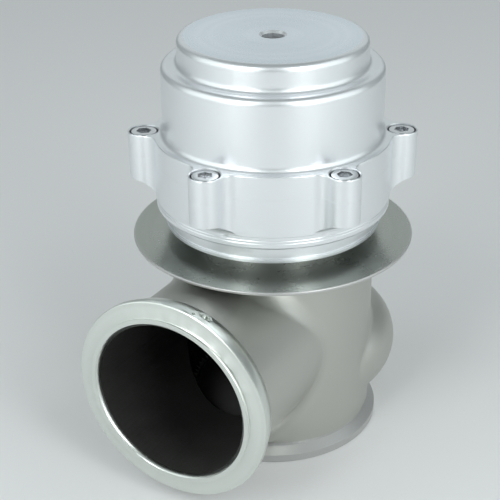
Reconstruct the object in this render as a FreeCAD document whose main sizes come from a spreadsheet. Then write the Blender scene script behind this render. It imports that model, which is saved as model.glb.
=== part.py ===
"""Turbo wastegate: poppet valve in a cast body, opened by a spring-loaded diaphragm actuator.

The inlet flange's lower face is centred on the origin, the valve slides along +Z and the outlet
points along -Y. Lengths are millimetres. Every size is a cell of the spreadsheet "dims"; every
level and every fit is a formula of those cells.
"""
import FreeCAD, Part
import math
import os
import re
import Sketcher

Vector = FreeCAD.Vector

SIZES = {
    # inlet V-band flange, seat and cast body
    "inlet_rim_radius": 42.0,
    "inlet_rim_height": 3.3,
    "inlet_cone_height": 2.2,
    "inlet_relief_radius": 38.4,
    "inlet_relief_height": 1.6,
    "clamp_channel_radius": 56.0,
    "port_bore_radius": 30.0,
    "seat_ring_radius": 34.0,
    "seat_ring_height": 9.0,
    "seat_throat_radius": 29.0,
    "seat_face_width": 1.8,
    "seat_lip_radius": 31.4,
    "seat_lip_height": 2.6,
    "barrel_radius": 39.0,
    "barrel_foot": 3.0,
    "casting_wall": 4.0,
    "body_height": 80.0,
    "bulge_offset": 16.0,
    "bulge_ring_radius": 23.8,
    "bulge_round": 18.6,
    "bulge_level": 26.5,
    "bulge_blend": 6.0,
    "roof_thickness": 10.0,
    "roof_corner": 8.0,
    # outlet duct and V-band flange
    "outlet_level": 44.9,
    "outlet_reach": 75.5,
    "outlet_rim_radius": 39.0,
    "outlet_rim_width": 2.6,
    "outlet_cone_radius": 37.0,
    "outlet_cone_width": 5.4,
    "outlet_lip_radius": 33.0,
    "outlet_lip_height": 1.3,
    "duct_radius": 33.4,
    "duct_blend": 10.0,
    "edge_break": 0.5,
    # valve, guide and stem sealing
    "valve_margin": 2.0,
    "valve_crown": 2.0,
    "valve_neck_round": 12.0,
    "valve_face_extra": 0.6,
    "valve_seat_gap": 0.15,
    "stem_radius": 4.5,
    "oring_section": 1.4,
    "oring_pocket_depth": 3.0,
    "running_gap": 0.04,
    "guide_radius": 7.0,
    "guide_length": 28.0,
    "guide_boss_radius": 10.0,
    "guide_boss_taper": 1.5,
    "guide_boss_length": 20.0,
    "guide_proud": 3.0,
    "seal_pocket_radius": 9.0,
    "seal_pocket_depth": 5.0,
    "seal_height": 2.6,
    "retaining_ring_height": 1.2,
    "piece_gap": 0.05,
    # stack between body and actuator
    "gasket_radius": 35.0,
    "gasket_height": 0.6,
    "shield_radius": 53.6,
    "shield_height": 1.3,
    "spacer_radius": 31.0,
    "spacer_height": 4.9,
    "collar_radius": 41.0,
    "collar_height": 7.0,
    "collar_groove_level": 1.5,
    "collar_groove_width": 1.3,
    "collar_groove_depth": 0.8,
    "stem_passage_radius": 8.0,
    # actuator housing
    "housing_radius": 44.5,
    "housing_height": 19.4,
    "housing_floor": 6.5,
    "housing_bevel": 0.8,
    "foot_band_height": 4.9,
    "foot_band_step": 0.3,
    "chamber_radius": 37.0,
    "floor_boss_radius": 11.0,
    "floor_boss_height": 3.0,
    "lobe_circle_radius": 48.0,
    "lobe_radius": 6.0,
    "lobe_count": 6,
    "lobe_start_angle": 30.0,
    "lobe_blend": 5.0,
    "lobe_drop": 9.2,
    "lobe_undercut": 8.0,
    "lobe_rise": 8.75,
    "side_port_radius": 4.3,
    "side_port_level": 6.3,
    "side_port_face_radius": 6.0,
    "side_port_face_depth": 0.6,
    # cap
    "cap_radius": 41.0,
    "cap_bore_radius": 36.6,
    "cap_shoulder_level": 35.25,
    "cap_plateau_radius": 34.9,
    "cap_height": 45.15,
    "cap_top_wall": 4.5,
    "cap_plateau_wall": 4.4,
    "cap_round": 2.5,
    "cap_blend": 2.2,
    "top_port_radius": 4.2,
    "top_port_chamfer": 0.9,
    "top_boss_radius": 9.0,
    "top_boss_depth": 6.5,
    # moving actuator pieces
    "retainer_radius": 27.0,
    "retainer_height": 3.0,
    "retainer_level": 12.2,
    "diaphragm_thickness": 1.2,
    "diaphragm_rim_radius": 41.0,
    "roll_height": 5.0,
    "wall_gap": 0.15,
    "piston_radius": 31.0,
    "piston_floor": 3.2,
    "piston_height": 10.8,
    "piston_wall": 2.4,
    "stem_thread_radius": 4.0,
    "washer_radius": 8.5,
    "washer_height": 1.6,
    "nut_width": 13.0,
    "nut_height": 6.5,
    "thread_proud": 2.1,
    # springs
    "outer_spring_radius": 26.0,
    "outer_spring_wire": 4.0,
    "middle_spring_radius": 19.5,
    "middle_spring_wire": 3.2,
    "inner_spring_radius": 13.6,
    "inner_spring_wire": 2.4,
    "spring_seat_radius": 30.0,
    "spring_seat_height": 1.0,
    # screws
    "screw_radius": 3.0,
    "screw_clearance_radius": 3.3,
    "screw_head_radius": 5.0,
    "screw_head_height": 6.0,
    "screw_socket_width": 5.0,
    "screw_socket_depth": 3.0,
    "counterbore_radius": 5.4,
    "counterbore_extra": 0.2,
    "cap_screw_length": 10.0,
    "base_screw_count": 4,
    "base_circle_radius": 23.0,
    "base_start_angle": 45.0,
    "base_screw_length": 25.0,
    "base_hole_spare": 1.0,
    "base_counterbore_depth": 2.5,
    "base_counterbore_radius": 6.0,
    "base_washer_height": 1.0,
}

# Formulas shared by more than one piece; each one stands for the sizes above.
LEVELS = {
    "cone_top": "inlet_rim_height + inlet_cone_height",
    "relief_top": "cone_top + inlet_relief_height",
    "lip_top": "seat_ring_height + seat_lip_height",
    "chamber_wall_radius": "barrel_radius - casting_wall",
    "roof_level": "body_height - roof_thickness",
    "boss_low": "roof_level - guide_boss_length",
    "pocket_floor": "body_height - seal_pocket_depth",
    "valve_radius": "seat_throat_radius + seat_face_width",
    "valve_face_top": "seat_ring_height + valve_seat_gap",
    "valve_face_run": "seat_face_width + valve_face_extra",
    "valve_rim_top": "valve_face_top + valve_margin",
    "sliding_radius": "stem_radius + running_gap",
    "shield_level": "body_height + gasket_height",
    "spacer_level": "shield_level + shield_height",
    "collar_level": "spacer_level + spacer_height",
    "housing_level": "collar_level + collar_height",
    "floor_level": "housing_level + housing_floor",
    "split_level": "housing_level + housing_height",
    "lobe_top": "split_level + lobe_rise",
    "shoulder_level": "split_level + cap_shoulder_level",
    "cap_top": "split_level + cap_height",
    "ceiling_level": "cap_top - cap_top_wall",
    "retainer_base": "housing_level + retainer_level",
    "diaphragm_level": "retainer_base + retainer_height",
    "piston_level": "diaphragm_level + diaphragm_thickness",
    "spring_level": "piston_level + piston_floor",
    "spring_top": "ceiling_level - spring_seat_height",
    "washer_top": "spring_level + washer_height",
    "nut_top": "washer_top + nut_height",
    "stem_top": "nut_top + thread_proud",
    "stem_hole_radius": "stem_thread_radius + piece_gap",
    "undercut_top": "split_level - lobe_drop",
    "undercut_rim": "lobe_circle_radius + 2 * lobe_radius",
    "tapped_radius": "screw_radius + piece_gap",
    "base_seat_level": "floor_level - base_counterbore_depth",
    "base_head_level": "base_seat_level + base_washer_height",
    "outlet_face": "-outlet_reach",
    "outlet_nose": "outlet_face - outlet_lip_height",
    "outlet_cone_start": "outlet_face + outlet_rim_width",
    "outlet_cone_end": "outlet_cone_start + outlet_cone_width",
    "oring_pocket_radius": "sliding_radius + 2 * oring_section + piece_gap",
    "bush_top": "floor_level + floor_boss_height",
    "cap_head_level": "lobe_top - screw_head_height - counterbore_extra",
}
COIL_STEPS = 16
WIRE_SIDES = 8
GROUND_SHARE = 0.25
HOLLOW_STEPS = 5
ORIGIN = (-1, 1)
START, END, CENTRE = 1, 2, 3

doc = FreeCAD.newDocument("wastegate")
sheet = doc.addObject("Spreadsheet::Sheet", "dims")
for row, (alias, size) in enumerate(SIZES.items(), start=1):
    sheet.set(f"A{row}", alias)
    sheet.set(f"B{row}", str(size))
    sheet.setAlias(f"B{row}", alias)
gauge = doc.addObject("App::FeaturePython", "gauge")
gauge.addProperty("App::PropertyFloat", "Size")
doc.recompute()


def formula(text):
    """Spell a size out in cells, so that it can be bound to a property."""
    def spell(word):
        name = word.group()
        if name in LEVELS:
            return "(" + formula(LEVELS[name]) + ")"
        return "dims." + name if name in SIZES else name
    return re.sub("[a-z_]+", spell, text)


def number(text):
    """The value that a formula has now."""
    gauge.setExpression("Size", formula(text))
    gauge.recompute()
    return gauge.Size


def piece(label):
    """An empty body: one sub-part of the wastegate."""
    body = doc.addObject("PartDesign::Body", label)
    body.Label = label
    body.AllowCompound = True
    return body


def sketch_on(body, name, plane, level=None):
    """A sketch on one of the body's own origin planes, lifted to a level."""
    sketch = body.newObject("Sketcher::SketchObject", name)
    datum = next(item for item in body.Origin.OriginFeatures if item.Role == plane)
    sketch.AttachmentSupport = [(datum, "")]
    sketch.MapMode = "FlatFace"
    if level:
        sketch.setExpression("AttachmentOffset.Base.z", formula(level))
    return sketch


def hold(sketch, kind, size, *ends):
    """Add a dimension to a sketch and bind it to a formula."""
    index = sketch.addConstraint(Sketcher.Constraint(kind, *ends, number(size)))
    sketch.setExpression(f"Constraints[{index}]", formula(size))


def place_point(sketch, point, across, up):
    """Hold a sketch point at its two distances from the sketch's origin."""
    hold(sketch, "DistanceX", across, *ORIGIN, *point)
    hold(sketch, "DistanceY", up, *ORIGIN, *point)


def outline(sketch, corners):
    """Draw a closed outline through corners given as pairs of formulas."""
    spots = [Vector(number(across), number(up), 0) for across, up in corners]
    first = sketch.GeometryCount
    for spot, following in zip(spots, spots[1:] + spots[:1]):
        sketch.addGeometry(Part.LineSegment(spot, following))
    for index, (across, up) in enumerate(corners):
        following = (index + 1) % len(corners)
        joint = Sketcher.Constraint("Coincident", first + index, END, first + following, START)
        sketch.addConstraint(joint)
        place_point(sketch, (first + index, START), across, up)


def arc_corners(across, up, radius, start, stop, steps=4):
    """Corners along an arc, in degrees, about a centre given as two formulas."""
    turns = [start + (stop - start) * step / steps for step in range(steps + 1)]
    return [(f"{across} + ({radius}) * cos({turn} * 1deg)",
             f"{up} + ({radius}) * sin({turn} * 1deg)") for turn in turns]


def disc(sketch, radius, across="0", up="0"):
    """Draw a circle of a bound radius about a bound centre."""
    centre = Vector(number(across), number(up), 0)
    index = sketch.addGeometry(Part.Circle(centre, Vector(0, 0, 1), number(radius)))
    hold(sketch, "Radius", radius, index)
    place_point(sketch, (index, CENTRE), across, up)


def spun(body, kind, name, corners, plane="XZ_Plane"):
    """Turn an outline of (radius, level) corners about the valve axis."""
    sketch = sketch_on(body, name + "_outline", plane)
    outline(sketch, corners)
    feature = body.newObject("PartDesign::" + kind, name)
    feature.Profile = sketch
    feature.ReferenceAxis = (sketch, ["V_Axis"])
    feature.Angle = 360
    sketch.Visibility = False
    doc.recompute()
    return feature


def spun_aside(body, kind, name, corners, axis):
    """Turn an outline on the YZ plane about a line given by its two bound ends."""
    sketch = sketch_on(body, name + "_outline", "YZ_Plane")
    ends = [Vector(number(across), number(up), 0) for across, up in axis]
    line = sketch.addGeometry(Part.LineSegment(*ends), True)
    for end, (across, up) in zip((START, END), axis):
        place_point(sketch, (line, end), across, up)
    outline(sketch, corners)
    return about_own_line(body, kind, name, sketch)


def about_own_line(body, kind, name, sketch):
    """Turn a sketch about the construction line that it holds."""
    feature = body.newObject("PartDesign::" + kind, name)
    feature.Profile = sketch
    feature.ReferenceAxis = (sketch, ["Axis0"])
    feature.Angle = 360
    doc.recompute()
    return feature


def pad(body, name, sketch, length):
    """Raise a sketch upwards."""
    feature = body.newObject("PartDesign::Pad", name)
    feature.Profile = sketch
    feature.setExpression("Length", formula(length))
    doc.recompute()
    return feature


def pocket(body, name, sketch, depth):
    """Sink a sketch downwards."""
    feature = body.newObject("PartDesign::Pocket", name)
    feature.Profile = sketch
    feature.setExpression("Length", formula(depth))
    doc.recompute()
    return feature


def patterned(body, feature, count):
    """Repeat a feature round the valve axis."""
    pattern = body.newObject("PartDesign::PolarPattern", feature.Name + "_ring")
    pattern.Originals = [feature]
    pattern.Axis = (feature.Profile[0], ["N_Axis"])
    pattern.Angle = 360
    pattern.setExpression("Occurrences", formula(count))
    body.Tip = pattern
    doc.recompute()
    return pattern


def softened(body, kind, name, size, picks):
    """Round or chamfer those edges of the body's tip that a test picks."""
    tip = body.Tip
    names = [f"Edge{index}" for index, edge in enumerate(tip.Shape.Edges, start=1) if picks(edge)]
    if not names:
        raise ValueError(f"{body.Label}: no edge for {name}")
    feature = body.newObject("PartDesign::" + kind, name)
    feature.Base = (tip, names)
    feature.setExpression("Radius" if kind == "Fillet" else "Size", formula(size))
    doc.recompute()
    return feature


def ring_edge(radius, level):
    """A test for a circle round the valve axis."""
    spot = number(radius), number(level)

    def picks(edge):
        if not isinstance(edge.Curve, Part.Circle) or abs(edge.Curve.Axis.z) < 0.5:
            return False
        centre = edge.Curve.Center
        on_axis = math.hypot(centre.x, centre.y) < 0.01
        return on_axis and math.dist((edge.Curve.Radius, centre.z), spot) < 0.01
    return picks


def on_circle(circle_radius, angle):
    """Two formulas for a point on a circle round the axis at an angle cell."""
    return (f"{circle_radius} * cos({angle} * 1deg)", f"{circle_radius} * sin({angle} * 1deg)")


def on_surfaces(*tests):
    """A test for a curved edge all of whose points pass each given test."""
    def picks(edge):
        if isinstance(edge.Curve, Part.Line):
            return False
        return all(test(spot) for spot in edge.discretize(7) for test in tests)
    return picks


def at_radius(radius):
    """A test for a point at a radius from the valve axis."""
    size = number(radius)
    return lambda spot: abs(math.hypot(spot.x, spot.y) - size) < 0.02


def between(low, high):
    """A test for a point strictly between two levels."""
    bottom, top = number(low), number(high)
    return lambda spot: bottom + 0.01 < spot.z < top - 0.01


def in_duct(radius):
    """A test for a point at a radius from the outlet's axis."""
    size, level = number(radius), number("outlet_level")
    return lambda spot: abs(math.hypot(spot.x, spot.z - level) - size) < 0.02


def bulge(body):
    """The round-ended rear bulge, turned about its own upright axis."""
    sketch = sketch_on(body, "bulge_outline", "YZ_Plane")
    near, far, level = (number(size) for size in (
        "bulge_offset", "bulge_offset + bulge_ring_radius", "bulge_level"))
    size = number("bulge_round")
    axis = sketch.addGeometry(Part.LineSegment(Vector(near, 0, 0), Vector(near, level, 0)), True)
    place_point(sketch, (axis, START), "bulge_offset", "0")
    place_point(sketch, (axis, END), "bulge_offset", "bulge_level")
    low, high = level - size, level + size
    floor = sketch.addGeometry(Part.LineSegment(Vector(near, low, 0), Vector(far, low, 0)))
    half_turn = Part.Arc(Vector(far, low, 0), Vector(far + size, level, 0), Vector(far, high, 0))
    nose = sketch.addGeometry(half_turn)
    roof = sketch.addGeometry(Part.LineSegment(Vector(far, high, 0), Vector(near, high, 0)))
    side = sketch.addGeometry(Part.LineSegment(Vector(near, high, 0), Vector(near, low, 0)))
    for ends in ((floor, END, nose, START), (nose, END, roof, START)):
        sketch.addConstraint(Sketcher.Constraint("Tangent", *ends))
    for ends in ((roof, END, side, START), (side, END, floor, START)):
        sketch.addConstraint(Sketcher.Constraint("Coincident", *ends))
    sketch.addConstraint(Sketcher.Constraint("Horizontal", floor))
    sketch.addConstraint(Sketcher.Constraint("Vertical", side))
    place_point(sketch, (nose, CENTRE), "bulge_offset + bulge_ring_radius", "bulge_level")
    hold(sketch, "Radius", "bulge_round", nose)
    hold(sketch, "DistanceX", "bulge_offset", *ORIGIN, side, START)
    return about_own_line(body, "Revolution", "bulge", sketch)


def bulge_hollow(body):
    """Hollow the bulge with the same form, a wall's thickness smaller and in straight steps."""
    size = "bulge_round - casting_wall"
    nose = arc_corners("bulge_offset + bulge_ring_radius", "bulge_level", size, -90, 90,
                       HOLLOW_STEPS)
    spun_aside(body, "Groove", "bulge_hollow", [
        ("bulge_offset", f"bulge_level - ({size})"), *nose,
        ("bulge_offset", f"bulge_level + {size}")],
        [("bulge_offset", "0"), ("bulge_offset", "body_height")])


def valve_body():
    """Cast body: barrel, rear bulge and outlet duct, hollow, with two V-band flanges."""
    body = piece("valve_body")
    spun(body, "Revolution", "barrel", [
        ("0", "barrel_foot"), ("barrel_radius", "barrel_foot"),
        ("barrel_radius", "body_height"), ("0", "body_height")])
    bulge(body)
    on_barrel = at_radius("barrel_radius"), between("barrel_foot", "body_height")
    softened(body, "Fillet", "bulge_root", "bulge_blend", on_surfaces(*on_barrel))
    duct_axis = [("outlet_face", "outlet_level"), ("0", "outlet_level")]
    spun_aside(body, "Revolution", "duct", [
        ("0", "outlet_level"), ("outlet_cone_start", "outlet_level"),
        ("outlet_cone_start", "outlet_level + duct_radius"),
        ("0", "outlet_level + duct_radius")], duct_axis)
    softened(body, "Fillet", "duct_root", "duct_blend",
             on_surfaces(*on_barrel, in_duct("duct_radius")))
    spun(body, "Groove", "clamp_channel", [
        ("inlet_relief_radius", "0"), ("clamp_channel_radius", "0"),
        ("clamp_channel_radius", "relief_top"), ("inlet_relief_radius", "relief_top")])
    spun(body, "Revolution", "inlet_flange", [
        ("0", "0"), ("inlet_rim_radius - edge_break", "0"), ("inlet_rim_radius", "edge_break"),
        ("inlet_rim_radius", "inlet_rim_height"), ("inlet_relief_radius", "cone_top"),
        ("0", "cone_top")])
    spun_aside(body, "Revolution", "outlet_flange", [
        ("outlet_cone_end", "outlet_level"),
        ("outlet_cone_end", "outlet_level + outlet_cone_radius"),
        ("outlet_cone_start", "outlet_level + outlet_rim_radius"),
        ("outlet_face + edge_break", "outlet_level + outlet_rim_radius"),
        ("outlet_face", "outlet_level + outlet_rim_radius - edge_break"),
        ("outlet_face", "outlet_level + outlet_lip_radius"),
        ("outlet_nose", "outlet_level + outlet_lip_radius"),
        ("outlet_nose", "outlet_level")], duct_axis)
    spun(body, "Groove", "chamber", [
        ("0", "0"), ("seat_ring_radius + piece_gap", "0"),
        ("seat_ring_radius + piece_gap", "seat_ring_height"),
        ("seat_lip_radius", "seat_ring_height"), ("seat_lip_radius", "lip_top"),
        ("chamber_wall_radius", "lip_top + chamber_wall_radius - seat_lip_radius"),
        ("chamber_wall_radius", "roof_level - roof_corner"),
        ("chamber_wall_radius - roof_corner", "roof_level"), ("0", "roof_level")])
    bulge_hollow(body)
    spun_aside(body, "Groove", "duct_bore", [
        ("outlet_nose", "outlet_level"), ("outlet_nose", "outlet_level + port_bore_radius"),
        ("0", "outlet_level + port_bore_radius"), ("0", "outlet_level")], duct_axis)
    spun(body, "Revolution", "guide_boss", [
        ("0", "boss_low"), ("guide_boss_radius - guide_boss_taper", "boss_low"),
        ("guide_boss_radius", "body_height"), ("0", "body_height")])
    spun(body, "Groove", "guide_hole", [
        ("0", "boss_low"), ("guide_radius + piece_gap", "boss_low"),
        ("guide_radius + piece_gap", "pocket_floor"), ("seal_pocket_radius", "pocket_floor"),
        ("seal_pocket_radius", "body_height"), ("0", "body_height")])
    depth = "body_height - base_head_level + base_screw_length + base_hole_spare"
    ring_of_holes(body, "tapped_hole", "body_height", "tapped_radius", depth)
    return body


def either(*tests):
    """A test that any of the given ones passes."""
    return lambda edge: any(test(edge) for test in tests)


def ring_of_holes(body, name, level, radius, depth):
    """Holes on the base screws' circle, sunk from a level."""
    sketch = sketch_on(body, name + "_spot", "XY_Plane", level)
    disc(sketch, radius, *on_circle("base_circle_radius", "base_start_angle"))
    patterned(body, pocket(body, name, sketch, depth), "base_screw_count")


def turned(label, corners):
    """A piece that is one turned outline."""
    body = piece(label)
    spun(body, "Revolution", label + "_turning", corners)
    return body


def washer_shape(label, inner, outer, low, high):
    """A plain ring between two radii and two levels."""
    return turned(label, [(inner, low), (outer, low), (outer, high), (inner, high)])


def valve_seat():
    """Loose seat ring with a 45 degree face at its upper inner edge."""
    body = turned("valve_seat", [
        ("seat_throat_radius", "0"), ("seat_ring_radius", "0"),
        ("seat_ring_radius", "seat_ring_height"), ("valve_radius", "seat_ring_height"),
        ("seat_throat_radius", "seat_ring_height - seat_face_width")])
    softened(body, "Chamfer", "seat_lead_in", "edge_break", ring_edge("seat_throat_radius", "0"))
    return body


def valve():
    """Poppet valve with its stem, which carries the piston at the top."""
    body = turned("valve", [
        ("0", "valve_face_top - valve_face_run"),
        ("valve_radius - valve_face_run", "valve_face_top - valve_face_run"),
        ("valve_radius", "valve_face_top"), ("valve_radius", "valve_rim_top"),
        *arc_corners("stem_radius + valve_neck_round", "valve_rim_top + valve_crown + valve_neck_round",
                     "valve_neck_round", 255, 180, 3), ("stem_radius", "retainer_base"),
        ("stem_thread_radius", "retainer_base"), ("stem_thread_radius", "stem_top"),
        ("0", "stem_top")])
    softened(body, "Chamfer", "stem_end", "edge_break", ring_edge("stem_thread_radius", "stem_top"))
    return body


def stack_pieces():
    """Rings that lie between the body and the actuator, drilled for the base screws."""
    rings = [
        ("body_gasket", "body_height", "gasket_radius", "gasket_height"),
        ("heat_shield", "shield_level", "shield_radius", "shield_height"),
        ("spacer_ring", "spacer_level", "spacer_radius", "spacer_height"),
    ]
    bodies = []
    for label, level, radius, height in rings:
        top = f"{level} + {height}"
        body = washer_shape(label, "stem_passage_radius", radius, level, top)
        ring_of_holes(body, label + "_hole", top, "screw_clearance_radius", height)
        bodies.append(body)
    softened(bodies[1], "Chamfer", "shield_edge", "shield_height / 4", either(
        ring_edge("shield_radius", "shield_level"), ring_edge("shield_radius", "spacer_level")))
    return bodies


def base_collar():
    """Grooved collar that carries the actuator and holds the upper stem seal."""
    groove_low = "collar_level + collar_groove_level"
    groove_high = groove_low + " + collar_groove_width"
    groove = "collar_radius - collar_groove_depth"
    body = turned("base_collar", [
        ("stem_radius + 4 * running_gap", "collar_level"),
        ("collar_radius - edge_break", "collar_level"),
        ("collar_radius", "collar_level + edge_break"), ("collar_radius", groove_low),
        (groove, groove_low), (groove, groove_high), ("collar_radius", groove_high),
        ("collar_radius", "housing_level"), ("oring_pocket_radius", "housing_level"),
        ("oring_pocket_radius", "housing_level - oring_pocket_depth"),
        ("stem_radius + 4 * running_gap", "housing_level - oring_pocket_depth")])
    ring_of_holes(body, "collar_hole", "housing_level", "screw_clearance_radius", "collar_height")
    return body


def ring_seal(label, inner, section, level):
    """An O-ring of a round section that lies on a level."""
    body = piece(label)
    sketch = sketch_on(body, label + "_section", "XZ_Plane")
    disc(sketch, section, f"{inner} + {section}", f"{level} + {section}")
    feature = body.newObject("PartDesign::Revolution", label + "_turning")
    feature.Profile = sketch
    feature.ReferenceAxis = (sketch, ["V_Axis"])
    feature.Angle = 360
    doc.recompute()
    return body


def lobes(body, low, high):
    """Six round ears that carry the cap screws, blended into the wall."""
    sketch = sketch_on(body, "lobe_outline", "XY_Plane", low)
    disc(sketch, "lobe_radius", *on_circle("lobe_circle_radius", "lobe_start_angle"))
    lobe = pad(body, "lobe", sketch, f"{high} - ({low})")
    patterned(body, lobe, "lobe_count")
    wall = at_radius("housing_radius")

    def picks(edge):
        upright = isinstance(edge.Curve, Part.Line) and abs(edge.tangentAt(edge.FirstParameter).z) > 0.9
        return upright and wall(edge.Vertexes[0].Point) and edge.Length > number("lobe_radius")
    return picks


def lobe_holes(body, name, level, radius, depth):
    """Holes through the lobes, sunk from a level."""
    sketch = sketch_on(body, name + "_spot", "XY_Plane", level)
    disc(sketch, radius, *on_circle("lobe_circle_radius", "lobe_start_angle"))
    patterned(body, pocket(body, name, sketch, depth), "lobe_count")


def lower_housing():
    """Lower half of the diaphragm housing: floor, chamber, six lobes and the side port."""
    body = piece("lower_housing")
    band = "housing_radius - foot_band_step"
    spun(body, "Revolution", "shell", [
        ("0", "housing_level"), (band + " - housing_bevel", "housing_level"),
        (band, "housing_level + housing_bevel"), (band, "housing_level + foot_band_height"),
        ("housing_radius", "housing_level + foot_band_height + foot_band_step"),
        ("housing_radius", "split_level"), ("0", "split_level")], "YZ_Plane")
    uprights = lobes(body, "split_level - lobe_drop - lobe_undercut", "split_level")
    softened(body, "Fillet", "lobe_roots", "lobe_blend", uprights)
    undercut(body)
    spun(body, "Groove", "chamber_below", [
        ("0", "floor_level"), ("chamber_radius", "floor_level"),
        ("chamber_radius", "split_level - diaphragm_thickness"),
        ("diaphragm_rim_radius + piece_gap", "split_level - diaphragm_thickness"),
        ("diaphragm_rim_radius + piece_gap", "split_level"), ("0", "split_level")])
    spun(body, "Revolution", "floor_boss", [
        ("0", "housing_level"), ("floor_boss_radius", "housing_level"),
        ("floor_boss_radius", "floor_level + floor_boss_height"),
        ("0", "floor_level + floor_boss_height")])
    spun(body, "Groove", "bush_hole", [
        ("0", "housing_level"), ("guide_radius + piece_gap", "housing_level"),
        ("guide_radius + piece_gap", "floor_level + floor_boss_height"),
        ("0", "floor_level + floor_boss_height")])
    ring_of_holes(body, "base_hole", "floor_level", "screw_clearance_radius", "housing_floor")
    ring_of_holes(body, "base_head_seat", "floor_level", "base_counterbore_radius",
                  "base_counterbore_depth")
    lobe_holes(body, "cap_thread", "split_level", "tapped_radius", "lobe_drop + lobe_undercut")
    side_port(body)
    return body


def undercut(body):
    """Cut everything outside the wall below a quarter round that carries the lobes."""
    quarter = arc_corners("housing_radius + lobe_undercut", "undercut_top - lobe_undercut",
                          "lobe_undercut", 180, 90)
    spun(body, "Groove", "lobe_undercut", [
        *quarter, ("undercut_rim", "undercut_top"),
        ("undercut_rim", "undercut_top - lobe_undercut")])


def side_port(body):
    """Spot-faced 1/8 NPT port into the chamber below the diaphragm."""
    for name, radius, depth in (("side_port_face", "side_port_face_radius", "side_port_face_depth"),
                                ("side_port", "side_port_radius", "housing_radius - chamber_radius + casting_wall")):
        sketch = sketch_on(body, name + "_spot", "YZ_Plane", "-housing_radius")
        disc(sketch, radius, "0", "split_level - side_port_level")
        pocket(body, name, sketch, depth).Reversed = True
    doc.recompute()


def cap():
    """Spring cap: six lobes, ledge, shoulder and plateau, with a 1/8 NPT port on top."""
    body = piece("cap")
    spun(body, "Revolution", "shell", [
        ("0", "split_level"), ("housing_radius", "split_level"), ("housing_radius", "lobe_top"),
        *arc_corners("cap_radius + cap_blend", "lobe_top + cap_blend", "cap_blend", 270, 180),
        *arc_corners("cap_radius - cap_round", "shoulder_level - cap_round", "cap_round", 0, 90),
        *arc_corners("cap_plateau_radius + cap_blend", "shoulder_level + cap_blend",
                     "cap_blend", 270, 180),
        *arc_corners("cap_plateau_radius - cap_round", "cap_top - cap_round", "cap_round", 0, 90),
        ("0", "cap_top")], "YZ_Plane")
    uprights = lobes(body, "split_level", "lobe_top")
    softened(body, "Fillet", "lobe_roots", "lobe_blend", uprights)
    rim = between("lobe_top - edge_break", "lobe_top + edge_break")
    outside = number("housing_radius")
    softened(body, "Chamfer", "ledge_edge", "edge_break", lambda edge: all(
        rim(spot) and math.hypot(spot.x, spot.y) > outside - 0.02 for spot in edge.discretize(5)))
    spun(body, "Groove", "spring_space", [
        ("0", "split_level"), ("cap_bore_radius", "split_level"),
        ("cap_bore_radius", "shoulder_level - cap_plateau_wall"),
        ("cap_plateau_radius - cap_plateau_wall", "shoulder_level - cap_plateau_wall"),
        ("cap_plateau_radius - cap_plateau_wall", "ceiling_level"), ("0", "ceiling_level")])
    spun(body, "Revolution", "port_boss", [
        ("0", "ceiling_level - top_boss_depth"),
        ("top_boss_radius", "ceiling_level - top_boss_depth"),
        ("top_boss_radius", "ceiling_level + edge_break"), ("0", "ceiling_level + edge_break")])
    spun(body, "Groove", "top_port", [
        ("0", "ceiling_level - top_boss_depth"),
        ("top_port_radius", "ceiling_level - top_boss_depth"),
        ("top_port_radius", "cap_top - top_port_chamfer"),
        ("top_port_radius + top_port_chamfer", "cap_top"), ("0", "cap_top")])
    lobe_holes(body, "screw_head_seat", "lobe_top", "counterbore_radius",
               "lobe_top - cap_head_level")
    lobe_holes(body, "screw_hole", "lobe_top", "screw_clearance_radius", "lobe_rise")
    return body


def hexagon(sketch, width, across="0", up="0"):
    """Draw a hexagon of a bound width across its flats about a bound centre."""
    corner = f"{width} / sqrt(3)"
    outline(sketch, [(f"{across} + {corner} * cos({60 * turn} * 1deg)",
                      f"{up} + {corner} * sin({60 * turn} * 1deg)") for turn in range(6)])


def socket_screws(label, circle, angle, head_level, length, count):
    """A ring of socket-head screws, heads upwards."""
    body = piece(label)
    spot = on_circle(circle, angle)
    head_top = f"{head_level} + screw_head_height"
    head_sketch = sketch_on(body, "head_outline", "XY_Plane", head_level)
    disc(head_sketch, "screw_head_radius", *spot)
    head = pad(body, "head", head_sketch, "screw_head_height")
    shank_sketch = sketch_on(body, "shank_outline", "XY_Plane", f"{head_level} - {length}")
    disc(shank_sketch, "screw_radius", *spot)
    shank = pad(body, "shank", shank_sketch, length)
    socket_sketch = sketch_on(body, "socket_outline", "XY_Plane", head_top)
    hexagon(socket_sketch, "screw_socket_width", *spot)
    socket = pocket(body, "socket", socket_sketch, "screw_socket_depth")
    ring = patterned(body, head, count)
    ring.Originals = [head, shank, socket]
    doc.recompute()
    size, top = number("screw_head_radius"), number(head_top)
    softened(body, "Chamfer", "head_edge", "edge_break", lambda edge: (
        isinstance(edge.Curve, Part.Circle) and abs(edge.Curve.Radius - size) < 0.01
        and abs(edge.Curve.Center.z - top) < 0.01))
    return body


def base_washers():
    """Flat washers under the base screws' heads."""
    body = piece("base_washers")
    spot = on_circle("base_circle_radius", "base_start_angle")
    sketch = sketch_on(body, "washer_outline", "XY_Plane", "base_seat_level")
    disc(sketch, "base_counterbore_radius - piece_gap", *spot)
    disc(sketch, "screw_clearance_radius", *spot)
    patterned(body, pad(body, "washer", sketch, "base_washer_height"), "base_screw_count")
    return body


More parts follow.
